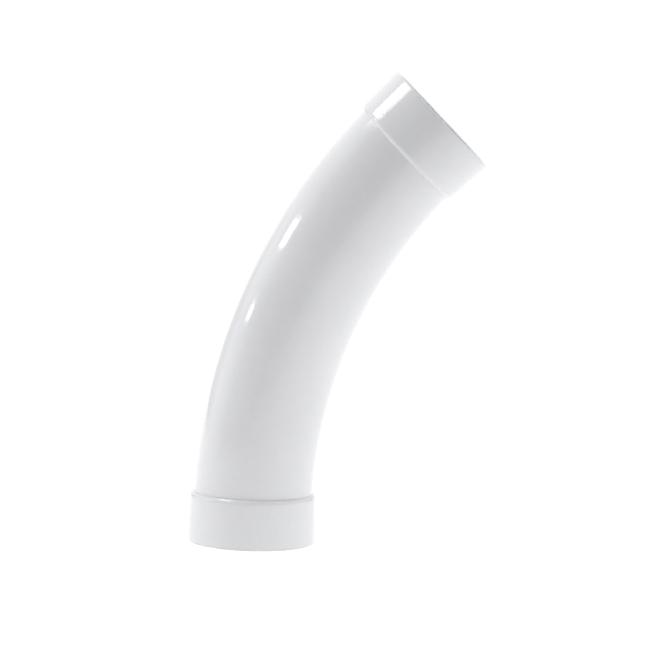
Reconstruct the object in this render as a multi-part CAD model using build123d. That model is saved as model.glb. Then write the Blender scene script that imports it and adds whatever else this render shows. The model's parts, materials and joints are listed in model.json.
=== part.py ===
from build123d import *
import os

# A long-radius duct elbow in white PVC: a bent tube with a short socket collar cemented on each end.
# All lengths are millimetres. The origin is the centre of the lower mouth, +Z runs up the lower
# socket's axis, and the tube leans towards +X in the XZ plane.

# Bent tube
TUBE_OD = 110.0
TUBE_WALL = 3.2
BEND_RADIUS = 500.0  # to the tube's centre line
BEND_ANGLE = 45.0  # degrees
TUBE_END_CHAMFER = 1.0  # outer edge of each cut end, which eases it into the collar
TUBE_END_DEBURR = 0.4  # inner edge of each cut end

# Socket collar, measured up from its mouth
COLLAR_LENGTH = 46.0
RIM_OD = 119.0  # outside, at the mouth
SHOULDER_OD = 117.4  # outside, at the far end, so that the collar leaves its mould
SOCKET_BORE_RADIUS = 55.2
SOCKET_DEPTH = 23.0  # from the mouth to the stop that the next duct meets
LEAD_IN = 1.2  # chamfer inside the mouth
STOP_WIDTH = 3.0  # ring between the next duct's end and the tube's end
STOP_BORE_RADIUS = 52.0
STOP_EDGE_RADIUS = 0.8
RIM_EDGE_RADIUS = 1.2
SHOULDER_EDGE_RADIUS = 2.9
CEMENT_GAP = 0.15  # radial, between the tube and its seat in the collar

# Worked out from the above
TUBE_RADIUS = TUBE_OD / 2
ARC_START = SOCKET_DEPTH + STOP_WIDTH  # the tube's cut end rests on the stop, where its arc starts
SEAT_CORE_RADIUS = (STOP_BORE_RADIUS + TUBE_RADIUS) / 2  # the seat is cut outwards from here
BEND_CENTRE = (BEND_RADIUS, 0, ARC_START)
BEND_AXIS = Axis(BEND_CENTRE, (0, 1, 0))
TANGENT_AT_MIDDLE = Vector(0, 0, 1).rotate(Axis.Y, BEND_ANGLE / 2)
MIDDLE_OF_BEND = Plane(origin=BEND_CENTRE, z_dir=TANGENT_AT_MIDDLE)


def swept_round_the_bend(section):
    """Turns a section that lies at the arc's start through the whole bend."""
    return revolve(Pos(0, 0, ARC_START) * section, axis=BEND_AXIS, revolution_arc=BEND_ANGLE)


def make_bend_tube():
    """The tube: a plain length of duct, bent to one arc and cut square at both ends."""
    bore_radius = TUBE_RADIUS - TUBE_WALL
    tube = swept_round_the_bend(Circle(TUBE_RADIUS) - Circle(bore_radius))
    for end in tube.faces().filter_by(GeomType.PLANE):
        bore_edge, outer_edge = end.edges().sort_by(SortBy.LENGTH)
        tube = chamfer(outer_edge, TUBE_END_CHAMFER)
        bore_edge = tube.edges().sort_by_distance(bore_edge.arc_center)[0]
        tube = chamfer(bore_edge, TUBE_END_DEBURR)
    return tube


def collar_half_section():
    """Half of the collar's section, in the XZ plane, before the tube's seat is cut."""
    rim_radius = RIM_OD / 2
    shoulder_radius = SHOULDER_OD / 2
    rim_corner = (rim_radius, 0)
    shoulder_corner = (shoulder_radius, COLLAR_LENGTH)
    stop_corners = [(STOP_BORE_RADIUS, SOCKET_DEPTH), (STOP_BORE_RADIUS, ARC_START)]
    outline = Polyline(
        (SOCKET_BORE_RADIUS + LEAD_IN, 0),
        rim_corner,
        shoulder_corner,
        (SEAT_CORE_RADIUS, COLLAR_LENGTH),
        (SEAT_CORE_RADIUS, ARC_START),
        *reversed(stop_corners),
        (SOCKET_BORE_RADIUS, SOCKET_DEPTH),
        (SOCKET_BORE_RADIUS, LEAD_IN),
        close=True,
    )
    section = make_face(outline)
    rounded = [(rim_corner, RIM_EDGE_RADIUS), (shoulder_corner, SHOULDER_EDGE_RADIUS)]
    rounded += [(corner, STOP_EDGE_RADIUS) for corner in stop_corners]
    for corner, radius in rounded:
        vertex = section.vertices().sort_by_distance((*corner, 0))[0]
        section = fillet(vertex, radius)
    return Plane.XZ * section


def make_lower_collar():
    """The collar: a ring with the next duct's socket below the stop and the tube's seat above it."""
    ring = revolve(collar_half_section(), axis=Axis.Z)
    return ring - swept_round_the_bend(Circle(TUBE_RADIUS + CEMENT_GAP))


def main():
    lower_collar = make_lower_collar()
    parts = {
        "bend_tube": make_bend_tube(),
        "lower_socket_collar": lower_collar,
        "upper_socket_collar": mirror(lower_collar, about=MIDDLE_OF_BEND),
    }
    os.makedirs("parts", exist_ok=True)
    for name, part in parts.items():
        export_step(part, f"parts/{name}.step")


main()
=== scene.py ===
"""Looks of the white PVC duct elbow: meshes and materials for its three pieces, the studio and the camera.

Everything is in metres, in the part's own frame: the lower mouth's centre is the origin, +Z goes up the lower
socket's axis, and the bend leans towards +X in the XZ plane.
"""

import json
import math

import bpy
from mathutils import Matrix, Vector, noise


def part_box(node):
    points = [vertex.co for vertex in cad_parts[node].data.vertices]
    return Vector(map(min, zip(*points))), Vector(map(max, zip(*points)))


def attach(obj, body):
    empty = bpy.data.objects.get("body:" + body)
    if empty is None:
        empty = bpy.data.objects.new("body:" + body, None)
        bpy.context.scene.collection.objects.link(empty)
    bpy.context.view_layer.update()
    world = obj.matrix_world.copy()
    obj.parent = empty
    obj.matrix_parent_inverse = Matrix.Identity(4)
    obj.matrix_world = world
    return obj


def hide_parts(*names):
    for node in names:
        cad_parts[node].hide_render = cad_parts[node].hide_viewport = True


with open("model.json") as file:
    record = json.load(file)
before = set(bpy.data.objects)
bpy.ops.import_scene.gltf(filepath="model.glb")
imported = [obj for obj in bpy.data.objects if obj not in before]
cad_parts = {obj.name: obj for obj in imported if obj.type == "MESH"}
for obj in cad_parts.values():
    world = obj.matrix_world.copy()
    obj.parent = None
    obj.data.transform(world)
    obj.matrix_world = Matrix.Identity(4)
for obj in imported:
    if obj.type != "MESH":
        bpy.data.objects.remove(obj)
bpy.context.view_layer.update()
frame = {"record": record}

MM = 0.001
MICRON = 1e-6
MOUNTS = {mount["name"]: mount for mount in frame["record"]["mounts"]}

# Sizes that the frame gives
COLLAR_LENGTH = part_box("lower_socket_collar")[1].z
ARC_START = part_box("bend_tube")[0].z  # the tube's end, which rests on the collar's stop
SOCKET_RADIUS = MOUNTS["lower_socket"]["dims"]["r_mm"] * MM
LEAD_IN = MOUNTS["lower_socket"]["pos_m"][2]
UPPER_AXIS = Vector(MOUNTS["upper_socket"]["axis"]).normalized()
UPPER_MOUTH = Vector(MOUNTS["upper_socket"]["pos_m"]) + LEAD_IN * UPPER_AXIS
BEND_ANGLE = math.atan2(UPPER_AXIS.x, UPPER_AXIS.z)
AXES_MEET = UPPER_MOUTH.x / math.sin(BEND_ANGLE)  # the height where the two sockets' axes cross
BEND_RADIUS = (AXES_MEET - ARC_START) / math.tan(BEND_ANGLE / 2)
BEND_CENTRE = Vector((BEND_RADIUS, 0, ARC_START))

# Sizes of the finished shapes
TUBE_RADIUS = 55.0 * MM
TUBE_WALL = 3.2 * MM
TUBE_CHAMFER = 1.0 * MM
TUBE_DEBURR = 0.4 * MM
RIM_RADIUS = 59.5 * MM
SHOULDER_RADIUS = 58.7 * MM
RIM_ROUNDING = 1.2 * MM
SHOULDER_LENGTH = 4.6 * MM  # of the rounded shoulder, along the axis
SHOULDER_FOOT = 55.9 * MM  # its radius where it meets the tube
SEAT_RADIUS = 55.15 * MM
CEMENT_LIP = 0.5 * MM  # how far down the seat the cement shows, squeezed out against the tube
CEMENT_RADIUS = TUBE_RADIUS - 0.15 * MM  # just inside the tube's surface, so that no gap shows
STOP_RADIUS = 52.0 * MM
STOP_WIDTH = 3.0 * MM
STOP_ROUNDING = 0.8 * MM
TUBE_UNEVENNESS = 0.10 * MM
TUBE_WAVES_APART = 45 * MM
COLLAR_UNEVENNESS = 0.05 * MM
COLLAR_WAVES_APART = 30 * MM
UPPER_COLLAR_SHIFT = Vector((0.3, 0, 0))  # keeps the two collars' unevenness from being the same
SIDES = 224  # facets round each piece
SHARP_EDGE = math.radians(32)  # faces that meet at more than this have a crisp edge


# ---------------------------------------------------------------- outlines

def straight(start, end, step=3.0 * MM, hold=0.25 * MM):
    """Points from start to end, a step apart, with one close to each end so that shading stays crisp."""
    start, end = Vector(start), Vector(end)
    run = end - start
    length = run.length
    if length < 3 * hold:
        return [start, end]
    count = max(1, round((length - 2 * hold) / step))
    inner = [hold + (length - 2 * hold) * i / count for i in range(count + 1)]
    return [start, *(start + run * (at / length) for at in inner), end]


def rounded(corner, before, after, radius, steps=7):
    """An arc in place of a corner, tangent to the lines that come from before and go to after."""
    corner = Vector(corner)
    back = (Vector(before) - corner).normalized()
    ahead = (Vector(after) - corner).normalized()
    half = back.angle(ahead) / 2
    reach = radius / math.tan(half)
    centre = corner + (back + ahead).normalized() * (radius / math.sin(half))
    first = corner + back * reach - centre
    last = corner + ahead * reach - centre
    turn = first.angle(last)
    points = []
    for i in range(steps + 1):
        share = i / steps
        arm = first * math.sin((1 - share) * turn) + last * math.sin(share * turn)
        points.append(centre + arm / math.sin(turn))
    return points


def outline(corners):
    """A closed outline of (radius, station) points from corners given as (radius, station, rounding)."""
    places = [Vector((radius, station)) for radius, station, _ in corners]
    pieces = []
    for i, (_, _, rounding) in enumerate(corners):
        before, after = places[i - 1], places[(i + 1) % len(places)]
        pieces.append(rounded(places[i], before, after, rounding) if rounding else [places[i]])
    points = []
    for i, piece in enumerate(pieces):
        following = pieces[(i + 1) % len(pieces)][0]
        points += piece[:-1]
        points += straight(piece[-1], following)[:-1]
    return points


# ---------------------------------------------------------------- meshes

def ring_mesh(name, points, place, outward):
    """A closed mesh: the outline's points, carried round the axis by place(radius, station, angle)."""
    count = len(points)
    vertices = []
    for side in range(SIDES):
        angle = math.tau * side / SIDES
        vertices += [place(radius, station, angle) for radius, station in points]
    faces = []
    for side in range(SIDES):
        here, there = side * count, (side + 1) % SIDES * count
        for i in range(count):
            j = (i + 1) % count
            face = (here + i, there + i, there + j, here + j)
            faces.append(face if outward else face[::-1])
    mesh = bpy.data.meshes.new(name)
    mesh.from_pydata(vertices, [], faces)
    mesh.update()
    mesh.shade_smooth()
    mesh.set_sharp_from_angle(angle=SHARP_EDGE)
    piece = bpy.data.objects.new(name, mesh)
    bpy.context.scene.collection.objects.link(piece)
    return piece


def along_the_bend(station):
    """(centre, outward direction) of the tube's section at a station, measured along its arc."""
    turn = station / BEND_RADIUS
    out = Vector((-math.cos(turn), 0, math.sin(turn)))
    return BEND_CENTRE + BEND_RADIUS * out, out


def unevenness(place, waves_apart, depth):
    """A slow unevenness between 0 and -depth, so that a surface only ever moves towards its axis."""
    return -depth * (0.5 + 0.5 * noise.noise(place / waves_apart))


def make_bend_tube():
    """The tube, with the slight unevenness that heat bending leaves in it."""
    length = BEND_RADIUS * BEND_ANGLE
    bore = TUBE_RADIUS - TUBE_WALL
    corners = [
        (TUBE_RADIUS, TUBE_CHAMFER, 0),
        (TUBE_RADIUS, length - TUBE_CHAMFER, 0),
        (TUBE_RADIUS - TUBE_CHAMFER, length, 0),
        (bore + TUBE_DEBURR, length, 0),
        (bore, length - TUBE_DEBURR, 0),
        (bore, TUBE_DEBURR, 0),
        (bore + TUBE_DEBURR, 0, 0),
        (TUBE_RADIUS - TUBE_CHAMFER, 0, 0),
    ]

    def place(radius, station, angle):
        centre, out = along_the_bend(station)
        arm = math.cos(angle) * out + math.sin(angle) * Vector((0, 1, 0))
        spot = centre + arm * radius
        return spot + arm * unevenness(spot, TUBE_WAVES_APART, TUBE_UNEVENNESS)

    return ring_mesh("tube_body", outline(corners), place, outward=False)


def shoulder(steps=12):
    """Corners along the collar's shoulder: one arc that starts in line with the wall and ends at the foot."""
    start = Vector((SHOULDER_RADIUS, COLLAR_LENGTH - SHOULDER_LENGTH))
    foot = Vector((SHOULDER_FOOT, COLLAR_LENGTH))
    wall = (start - Vector((RIM_RADIUS, 0))).normalized()
    inward = Vector((-wall.y, wall.x))
    chord = foot - start
    radius = chord.length_squared / (2 * chord.dot(inward))
    centre = start + inward * radius
    turn = (start - centre).angle(foot - centre)
    corners = []
    for i in range(steps + 1):
        angle = turn * i / steps
        arm = math.sin(angle) * wall - math.cos(angle) * inward
        corners.append((*(centre + radius * arm), 0))
    return corners


def collar_outline():
    """The collar's closed outline: up its outside, and back down through cement, seat, stop and socket."""
    stop_low = ARC_START - STOP_WIDTH
    corners = [
        (SOCKET_RADIUS + LEAD_IN, 0, 0),
        (RIM_RADIUS, 0, RIM_ROUNDING),
        *shoulder(),
        (CEMENT_RADIUS, COLLAR_LENGTH, 0),
        (CEMENT_RADIUS, COLLAR_LENGTH - CEMENT_LIP, 0),
        (SEAT_RADIUS, COLLAR_LENGTH - CEMENT_LIP, 0),
        (SEAT_RADIUS, ARC_START, 0),
        (STOP_RADIUS, ARC_START, STOP_ROUNDING),
        (STOP_RADIUS, stop_low, STOP_ROUNDING),
        (SOCKET_RADIUS, stop_low, 0),
        (SOCKET_RADIUS, LEAD_IN, 0),
    ]
    return outline(corners)


def bow(station):
    """How far the tube's centre line has left the collar's axis, at a height above the mouth."""
    rise = max(0.0, station - ARC_START)
    return BEND_RADIUS - math.sqrt(BEND_RADIUS**2 - rise**2)


def collar_spot(radius, station, angle):
    """A point of the lower collar. Its seat and cement follow the tube's bow, and the rest is round."""
    arm = Vector((math.cos(angle), math.sin(angle), 0))
    spot = arm * radius + Vector((0, 0, station))
    if radius <= SEAT_RADIUS and station > ARC_START:
        spot.x += bow(station)
    return spot


def make_lower_collar():
    """The collar that the elbow stands on."""
    def place(radius, station, angle):
        spot = collar_spot(radius, station, angle)
        arm = Vector((math.cos(angle), math.sin(angle), 0))
        return spot + arm * unevenness(spot, COLLAR_WAVES_APART, COLLAR_UNEVENNESS)

    return ring_mesh("lower_collar_body", collar_outline(), place, outward=True)


def make_upper_collar():
    """The other collar: the lower one mirrored in the plane through the middle of the bend."""
    normal = Vector((math.sin(BEND_ANGLE / 2), 0, math.cos(BEND_ANGLE / 2)))

    def place(radius, station, angle):
        spot = collar_spot(radius, station, angle)
        arm = Vector((math.cos(angle), math.sin(angle), 0))
        spot += arm * unevenness(spot + UPPER_COLLAR_SHIFT, COLLAR_WAVES_APART, COLLAR_UNEVENNESS)
        return spot - 2 * normal * normal.dot(spot - BEND_CENTRE)

    return ring_mesh("upper_collar_body", collar_outline(), place, outward=False)


# ---------------------------------------------------------------- nodes

# The sockets of a Mix node that mixes colours
MIX_FACTOR = 0
MIX_FIRST = 6
MIX_SECOND = 7
MIXED_COLOUR = 2


def node(tree, kind, inputs, **settings):
    """A shader node with its settings, and its inputs set to values or linked to other nodes' outputs."""
    made = tree.nodes.new("ShaderNode" + kind)
    for name, value in settings.items():
        setattr(made, name, value)
    for key, value in inputs.items():
        if isinstance(value, bpy.types.NodeSocket):
            tree.links.new(value, made.inputs[key])
        else:
            made.inputs[key].default_value = value
    return made


def calc(tree, operation, first, second=0.0):
    """The result of one Math node, from one or two values."""
    return node(tree, "Math", {0: first, 1: second}, operation=operation).outputs[0]


def scaled(tree, value, factor):
    """A value times a factor."""
    return calc(tree, "MULTIPLY", value, factor)


def total(tree, *values):
    """The values added up."""
    result = values[0]
    for value in values[1:]:
        result = calc(tree, "ADD", result, value)
    return result


def split(tree, vector):
    """A vector's X, Y and Z."""
    outputs = node(tree, "SeparateXYZ", {"Vector": vector}).outputs
    return [outputs[name] for name in "XYZ"]


def fine_noise(tree, place, scale, detail=2.0, roughness=0.5):
    """Noise between 0 and 1 whose lumps are about 1/scale metres across."""
    inputs = {"Vector": place, "Scale": scale, "Detail": detail, "Roughness": roughness}
    return node(tree, "TexNoise", inputs).outputs["Fac"]


def lumps(tree, place, scale, height, detail=2.0):
    """Relief of this height in metres, whose lumps are about 1/scale metres across."""
    return scaled(tree, fine_noise(tree, place, scale, detail), height)


def ramp(tree, value, low, high, low_value=0.0, high_value=1.0):
    """Turns a value that goes from low to high smoothly into one that goes from low_value to high_value."""
    inputs = {"Value": value, "From Min": low, "From Max": high, "To Min": low_value, "To Max": high_value}
    return node(tree, "MapRange", inputs, interpolation_type="SMOOTHSTEP").outputs["Result"]


def colour_ramp(tree, value, *stops):
    """Colours that change with a value, from stops given as (value, colour)."""
    made = node(tree, "ValToRGB", {"Fac": value})
    elements = made.color_ramp.elements
    while len(elements) < len(stops):
        elements.new(0.5)
    for element, (position, colour) in zip(elements, stops):
        element.position = position
        element.color = (*colour, 1)
    return made.outputs["Color"]


def blend(tree, factor, first, second):
    """A colour that varies over the surface and a plain one, mixed by a factor that varies too."""
    inputs = {MIX_FACTOR: factor, MIX_FIRST: first, MIX_SECOND: (*second, 1)}
    return node(tree, "Mix", inputs, data_type="RGBA").outputs[MIXED_COLOUR]


# ---------------------------------------------------------------- materials

# (dark, light) ends of each piece's own white
TUBE_WHITE = ((0.785, 0.788, 0.815), (0.840, 0.843, 0.866))
COLLAR_WHITE = ((0.785, 0.789, 0.815), (0.840, 0.844, 0.866))
DUST = (0.42, 0.41, 0.40)
SCUFF = (0.66, 0.66, 0.67)
# painted shade: the darker grey mixed in at the base, where the elbow stands, to darken its lowest edge
BASE_SHADE = (0.45, 0.45, 0.46)

REFRACTION = 1.53  # of PVC
POLISH = 0.05  # the roughness where nothing dulls it

# The tone is a weighted sum of slow clouds and a fine mottle, and goes from dark to light between two values
CLOUDS_SHARE = 0.6
MOTTLE_SHARE = 0.4
DARK_AT = 0.3
LIGHT_AT = 0.7

# How much each flaw, and the painted shade at the base, covers the colour under it, from 0 to 1
SPECK_COVERS = 0.5
SCUFF_COVERS = 0.3
PATCHES_OF_BASE_SHADE = 0.3
GRITS_OF_BASE_SHADE = 0.25

# The roughness that each flaw adds
SPECK_DULLS = 0.3
SCUFF_DULLS = 0.2
SMUDGE_DULLS = 0.06
MOTTLE_DULLS = 0.05

# Marks of making are long one way: this much of the noise's grain is left along the tube or round the collar
DRAWN_OUT_ALONG = 0.012
DRAWN_OUT_ROUND = 0.04

# Hairline scratches: noise squeezed to this scale on three tilted axes
HAIRLINE_SCALE = (40.0, 40.0, 900.0)
HAIRLINE_TILT = (0.5, 0.9, 0.2)

# Pairs of heights over the mouth between which the wear of an edge sets in
RIM_EDGE = (2.4 * MM, 0.5 * MM)
SHOULDER_EDGE = (COLLAR_LENGTH - 3.2 * MM, COLLAR_LENGTH - 1.0 * MM)
CEMENT_EDGE = (COLLAR_LENGTH + 2.6 * MM, COLLAR_LENGTH + 0.4 * MM)
BASE_SHADE_EDGE = (2.4 * MM, 0.3 * MM)  # heights over what the elbow stands on, between which the painted shade at the base sets in


def height_over_mouth(tree, place):
    """How far a point is from the plane of the nearer mouth, along that socket's axis."""
    x, _, z = split(tree, place)
    lean = total(tree, scaled(tree, x, -UPPER_AXIS.x), scaled(tree, z, -UPPER_AXIS.z))
    return calc(tree, "MINIMUM", z, calc(tree, "ADD", lean, UPPER_MOUTH.dot(UPPER_AXIS)))


def tube_relief(tree, place):
    """Fine lines and shallow flutes that the die draws along the tube, which follow the bend."""
    x, y, z = split(tree, place)
    inward = calc(tree, "SUBTRACT", BEND_CENTRE.x, x)
    rise = calc(tree, "SUBTRACT", z, BEND_CENTRE.z)
    along = scaled(tree, calc(tree, "ARCTAN2", rise, inward), BEND_RADIUS)
    squares = total(tree, calc(tree, "POWER", inward, 2.0), calc(tree, "POWER", rise, 2.0))
    off_centre = calc(tree, "SUBTRACT", calc(tree, "SQRT", squares), BEND_RADIUS)
    drawn_out = {"X": off_centre, "Y": y, "Z": scaled(tree, along, DRAWN_OUT_ALONG)}
    spot = node(tree, "CombineXYZ", drawn_out).outputs[0]
    lines = lumps(tree, spot, scale=520, height=2.2 * MICRON)
    flutes = lumps(tree, spot, scale=110, height=9 * MICRON, detail=1.0)
    return total(tree, lines, flutes)


def collar_relief(tree, place):
    """Faint rings round the collar, left by turning the mould."""
    _, y, _ = split(tree, place)
    drawn_out = {"X": height_over_mouth(tree, place), "Y": scaled(tree, y, DRAWN_OUT_ROUND)}
    spot = node(tree, "CombineXYZ", drawn_out).outputs[0]
    fine_rings = lumps(tree, spot, scale=420, height=1.8 * MICRON)
    broad_rings = lumps(tree, spot, scale=70, height=8 * MICRON, detail=1.0)
    return total(tree, fine_rings, broad_rings)


def dust_specks(tree, place):
    """1 on specks of dust, each a fraction of a millimetre across and far apart, and 0 elsewhere."""
    cells = node(tree, "TexVoronoi", {"Vector": place, "Scale": 170.0, "Randomness": 1.0})
    dot = ramp(tree, cells.outputs["Distance"], low=0.095, high=0.03)
    lot, _, _ = split(tree, cells.outputs["Color"])
    return calc(tree, "MULTIPLY", dot, ramp(tree, lot, low=0.86, high=0.94))


def surface_relief(tree, place, flaws, own_relief):
    """Orange peel, a slow waviness, hairline scratches, bits that stand up, and the piece's own marks."""
    peel = lumps(tree, place, scale=480, height=2.0 * MICRON)
    wave = lumps(tree, place, scale=45, height=35 * MICRON, detail=1.0)
    scratched = node(tree, "Mapping", {"Vector": place, "Scale": HAIRLINE_SCALE, "Rotation": HAIRLINE_TILT})
    strands = fine_noise(tree, scratched.outputs[0], scale=1.0)
    hairs = ramp(tree, strands, low=0.7, high=0.78, high_value=-2.5 * MICRON)
    bits = scaled(tree, flaws, 6 * MICRON)
    return total(tree, peel, wave, hairs, bits, own_relief(tree, place))


def white_pvc(name, white, own_relief, edges):
    """Glossy white PVC. Its tone, gloss and relief vary, with dust specks, hairlines, scuffed edges and
    painted shade at the base.
    """
    material = bpy.data.materials.new(name)
    material.use_nodes = True
    tree = material.node_tree
    shader = tree.nodes["Principled BSDF"]
    place = node(tree, "NewGeometry", {}).outputs["Position"]
    _, _, height_over_ground = split(tree, place)
    height = height_over_mouth(tree, place)

    dark, light = white
    clouds = fine_noise(tree, place, scale=13, detail=3.0)
    mottle = fine_noise(tree, place, scale=230, detail=4.0, roughness=0.65)
    tone = total(tree, scaled(tree, clouds, CLOUDS_SHARE), scaled(tree, mottle, MOTTLE_SHARE))
    colour = colour_ramp(tree, tone, (DARK_AT, dark), (LIGHT_AT, light))

    # Flaws: dust all over and scuffs where the edges are worn. Painted shade, mottled, where the elbow stands
    specks = dust_specks(tree, place)
    grit = ramp(tree, fine_noise(tree, place, scale=900, detail=3.0, roughness=0.7), low=0.44, high=0.62)
    patches = ramp(tree, fine_noise(tree, place, scale=60), low=0.35, high=0.65)
    on_an_edge = total(tree, *(ramp(tree, height, *edge) for edge in edges))
    worn = calc(tree, "MULTIPLY", calc(tree, "MULTIPLY", grit, patches), on_an_edge)
    base_shade_mottle = total(tree, scaled(tree, patches, PATCHES_OF_BASE_SHADE), scaled(tree, grit, GRITS_OF_BASE_SHADE))
    # painted shade: a darker grey over the lowest few millimetres, where the elbow stands on the floor,
    # mottled by the same noise as the scuffs
    base_shade = calc(tree, "MULTIPLY", ramp(tree, height_over_ground, *BASE_SHADE_EDGE), base_shade_mottle)
    colour = blend(tree, scaled(tree, specks, SPECK_COVERS), colour, DUST)
    colour = blend(tree, scaled(tree, worn, SCUFF_COVERS), colour, SCUFF)
    # mixes the painted shade at the base into the colour
    colour = blend(tree, base_shade, colour, BASE_SHADE)

    # Gloss: polished, with smudges of handling, duller on scuffs and specks
    smears = fine_noise(tree, place, scale=34, detail=4.0, roughness=0.6)
    smudge = ramp(tree, smears, low=0.4, high=0.75, high_value=SMUDGE_DULLS)
    haze = scaled(tree, mottle, MOTTLE_DULLS)
    wear = total(tree, scaled(tree, worn, SCUFF_DULLS), scaled(tree, specks, SPECK_DULLS))

    relief = surface_relief(tree, place, total(tree, worn, specks), own_relief)
    bump = node(tree, "Bump", {"Height": relief, "Distance": 1.0, "Strength": 1.0})
    tree.links.new(colour, shader.inputs["Base Color"])
    tree.links.new(calc(tree, "ADD", total(tree, smudge, haze, wear), POLISH), shader.inputs["Roughness"])
    tree.links.new(bump.outputs["Normal"], shader.inputs["Normal"])
    shader.inputs["IOR"].default_value = REFRACTION
    return material


def make_materials():
    """The two kinds of PVC, by slot."""
    return {
        "tube_pvc": white_pvc("tube_pvc", TUBE_WHITE, tube_relief, [CEMENT_EDGE]),
        "collar_pvc": white_pvc("collar_pvc", COLLAR_WHITE, collar_relief, [RIM_EDGE, SHOULDER_EDGE]),
    }


# ---------------------------------------------------------------- studio

# Radiances, where 1 is pure white in the picture
FLOOR_NEAR = 1.15
FLOOR_MIDDLE = 0.90
FLOOR_FAR = 0.38
ROOM_BEHIND = 1.03
ROOM_IN_FRONT = 0.35
CARD_DARKENS = 0.55

FLOOR_HALF_WIDTH = 6.0
FLOOR_FADES = ((0.55, FLOOR_NEAR), (0.90, FLOOR_MIDDLE), (1.60, FLOOR_FAR))  # (metres in front, radiance)
FLOOR_REACH = 2.0  # metres in front of the elbow that the fade's ramp covers
ROOM_FADE = (-0.5, -0.02)  # the Y of the directions between which the room turns from dark to white

LEFT_CARD = (-0.777, 0.629, 0.05)  # direction of each dark card
RIGHT_CARD = (0.616, 0.788, 0.05)
CARD_EDGE = (0.94, 0.99)  # cosines of the angles from its middle where a card starts and is full

LAMP_REACH = 1.5  # metres from the lamps to what they light
LAMP_ENERGY = 4  # watts that give a lamp of one square metre a radiance of 1


def white_floor():
    """A glowing white floor, like a light table, darker well in front of the elbow and clear from below."""
    half = FLOOR_HALF_WIDTH
    corners = [(-half, -half, 0), (half, -half, 0), (half, half, 0), (-half, half, 0)]
    mesh = bpy.data.meshes.new("floor")
    mesh.from_pydata(corners, [], [(0, 1, 2, 3)])
    floor = bpy.data.objects.new("floor", mesh)
    bpy.context.scene.collection.objects.link(floor)
    material = bpy.data.materials.new("light_table")
    material.use_nodes = True
    tree = material.node_tree
    tree.nodes.clear()
    geometry = node(tree, "NewGeometry", {}).outputs
    _, y, _ = split(tree, geometry["Position"])
    in_front = calc(tree, "DIVIDE", y, -FLOOR_REACH)
    stops = [(at / FLOOR_REACH, [level / FLOOR_NEAR] * 3) for at, level in FLOOR_FADES]
    shine = node(tree, "Emission", {"Color": colour_ramp(tree, in_front, *stops), "Strength": FLOOR_NEAR})
    clear = node(tree, "BsdfTransparent", {})
    # A MixShader's sockets: 0 tells which side is seen, 1 is the shader above and 2 the one below
    sides = {0: geometry["Backfacing"], 1: shine.outputs[0], 2: clear.outputs[0]}
    surface = node(tree, "MixShader", sides)
    node(tree, "OutputMaterial", {"Surface": surface.outputs[0]})
    floor.data.materials.append(material)


def dark_card(tree, axes, towards):
    """A dark card at one side behind the elbow, which draws a darker line just inside its edge."""
    parts = [scaled(tree, axis, part) for axis, part in zip(axes, towards)]
    return ramp(tree, total(tree, *parts), *CARD_EDGE, high_value=-CARD_DARKENS)


def room_light():
    """White all round, darker on the camera's side, with a dark card at each side behind."""
    world = bpy.data.worlds.new("room")
    world.use_nodes = True
    tree = world.node_tree
    axes = split(tree, node(tree, "TexCoord", {}).outputs["Generated"])
    base = ramp(tree, axes[1], *ROOM_FADE, ROOM_IN_FRONT, ROOM_BEHIND)
    cards = [dark_card(tree, axes, towards) for towards in (LEFT_CARD, RIGHT_CARD)]
    background = tree.nodes["Background"]
    background.inputs["Color"].default_value = (1, 1, 1, 1)
    tree.links.new(total(tree, base, *cards), background.inputs["Strength"])
    bpy.context.scene.world = world


def lamp(name, lit, azimuth, elevation, width, height, radiance):
    """A rectangular lamp in a direction from the point that it lights, with its angular size, in degrees."""
    azimuth = math.radians(azimuth)
    elevation = math.radians(elevation)
    level = math.cos(elevation)
    direction = Vector((math.sin(azimuth) * level, -math.cos(azimuth) * level, math.sin(elevation)))
    light = bpy.data.lights.new(name, "AREA")
    light.shape = "RECTANGLE"
    light.size = 2 * LAMP_REACH * math.tan(math.radians(width / 2)) * level
    light.size_y = 2 * LAMP_REACH * math.tan(math.radians(height / 2))
    light.energy = LAMP_ENERGY * light.size * light.size_y * radiance
    piece = bpy.data.objects.new(name, light)
    piece.location = Vector(lit) + LAMP_REACH * direction
    piece.rotation_euler = direction.to_track_quat("Z", "Y").to_euler()
    bpy.context.scene.collection.objects.link(piece)


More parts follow.
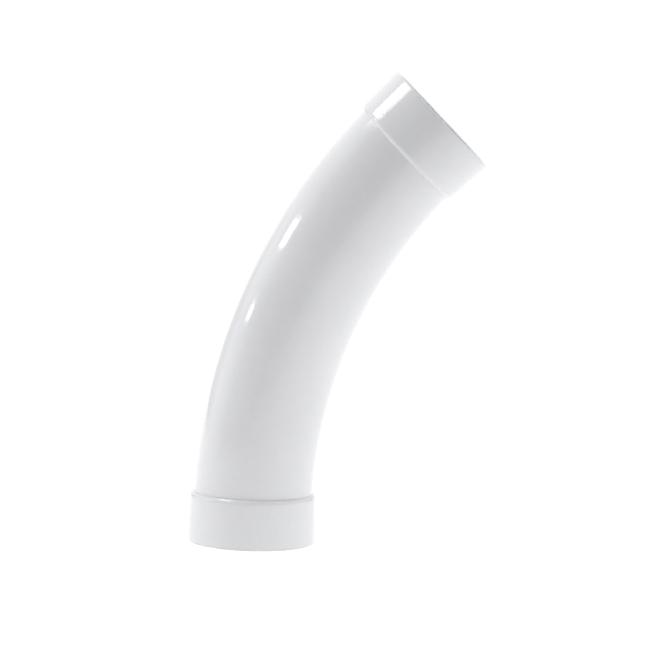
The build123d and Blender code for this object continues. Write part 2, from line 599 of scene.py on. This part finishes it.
def lamps():
    """Three lamps on the left, whose separate highlights show along the elbow, and one for the upper rim."""
    lamp(
        "lamp_high", lit=(0.11, -0.03, 0.39), azimuth=-86, elevation=50,
        width=40, height=19, radiance=4.8,
    )
    lamp(
        "lamp_middle", lit=(0.03, -0.03, 0.28), azimuth=-88.5, elevation=25.0,
        width=18, height=4.8, radiance=6.0,
    )
    lamp(
        "lamp_low", lit=(0.0, -0.03, 0.2), azimuth=-87.5, elevation=15.2,
        width=11, height=2.8, radiance=5.0,
    )
    lamp(
        "lamp_rim", lit=(0.17, 0, 0.40), azimuth=84, elevation=45,
        width=30, height=18, radiance=2.4,
    )


# ---------------------------------------------------------------- camera

CAMERA_AZIMUTH = math.radians(8.74)
CAMERA_ELEVATION = math.radians(3.18)
CAMERA_ROLL = math.radians(1.93)
CAMERA_DISTANCE = 1.679
CAMERA_AIM = Vector((0.0610, 0, 0.1973))
CAMERA_LENS = 97.7
CAMERA_SEES_TO = 20


def make_camera():
    """A long lens a little above the elbow's middle, looking almost straight at the plane of the bend."""
    level = math.cos(CAMERA_ELEVATION)
    back = Vector((
        math.sin(CAMERA_AZIMUTH) * level,
        -math.cos(CAMERA_AZIMUTH) * level,
        math.sin(CAMERA_ELEVATION),
    ))
    right = Vector((0, 0, 1)).cross(back).normalized()
    up = back.cross(right)
    turn = Matrix((right, up, back)).transposed() @ Matrix.Rotation(CAMERA_ROLL, 3, "Z")
    data = bpy.data.cameras.new("camera")
    data.lens = CAMERA_LENS
    data.clip_end = CAMERA_SEES_TO
    camera = bpy.data.objects.new("camera", data)
    camera.matrix_world = Matrix.Translation(CAMERA_AIM + back * CAMERA_DISTANCE) @ turn.to_4x4()
    bpy.context.scene.collection.objects.link(camera)
    bpy.context.scene.camera = camera


# ---------------------------------------------------------------- the elbow

PIECES = [
    (make_bend_tube, "bend_tube", "tube_pvc"),
    (make_lower_collar, "lower_socket_collar", "collar_pvc"),
    (make_upper_collar, "upper_socket_collar", "collar_pvc"),
]

make_camera()
MATERIALS = make_materials()
for make, part, slot in PIECES:
    piece = make()
    piece.data.materials.append(MATERIALS[slot])
    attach(piece, "root")
    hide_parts(part)
white_floor()
room_light()
lamps()
bpy.context.scene.view_settings.view_transform = "Standard"
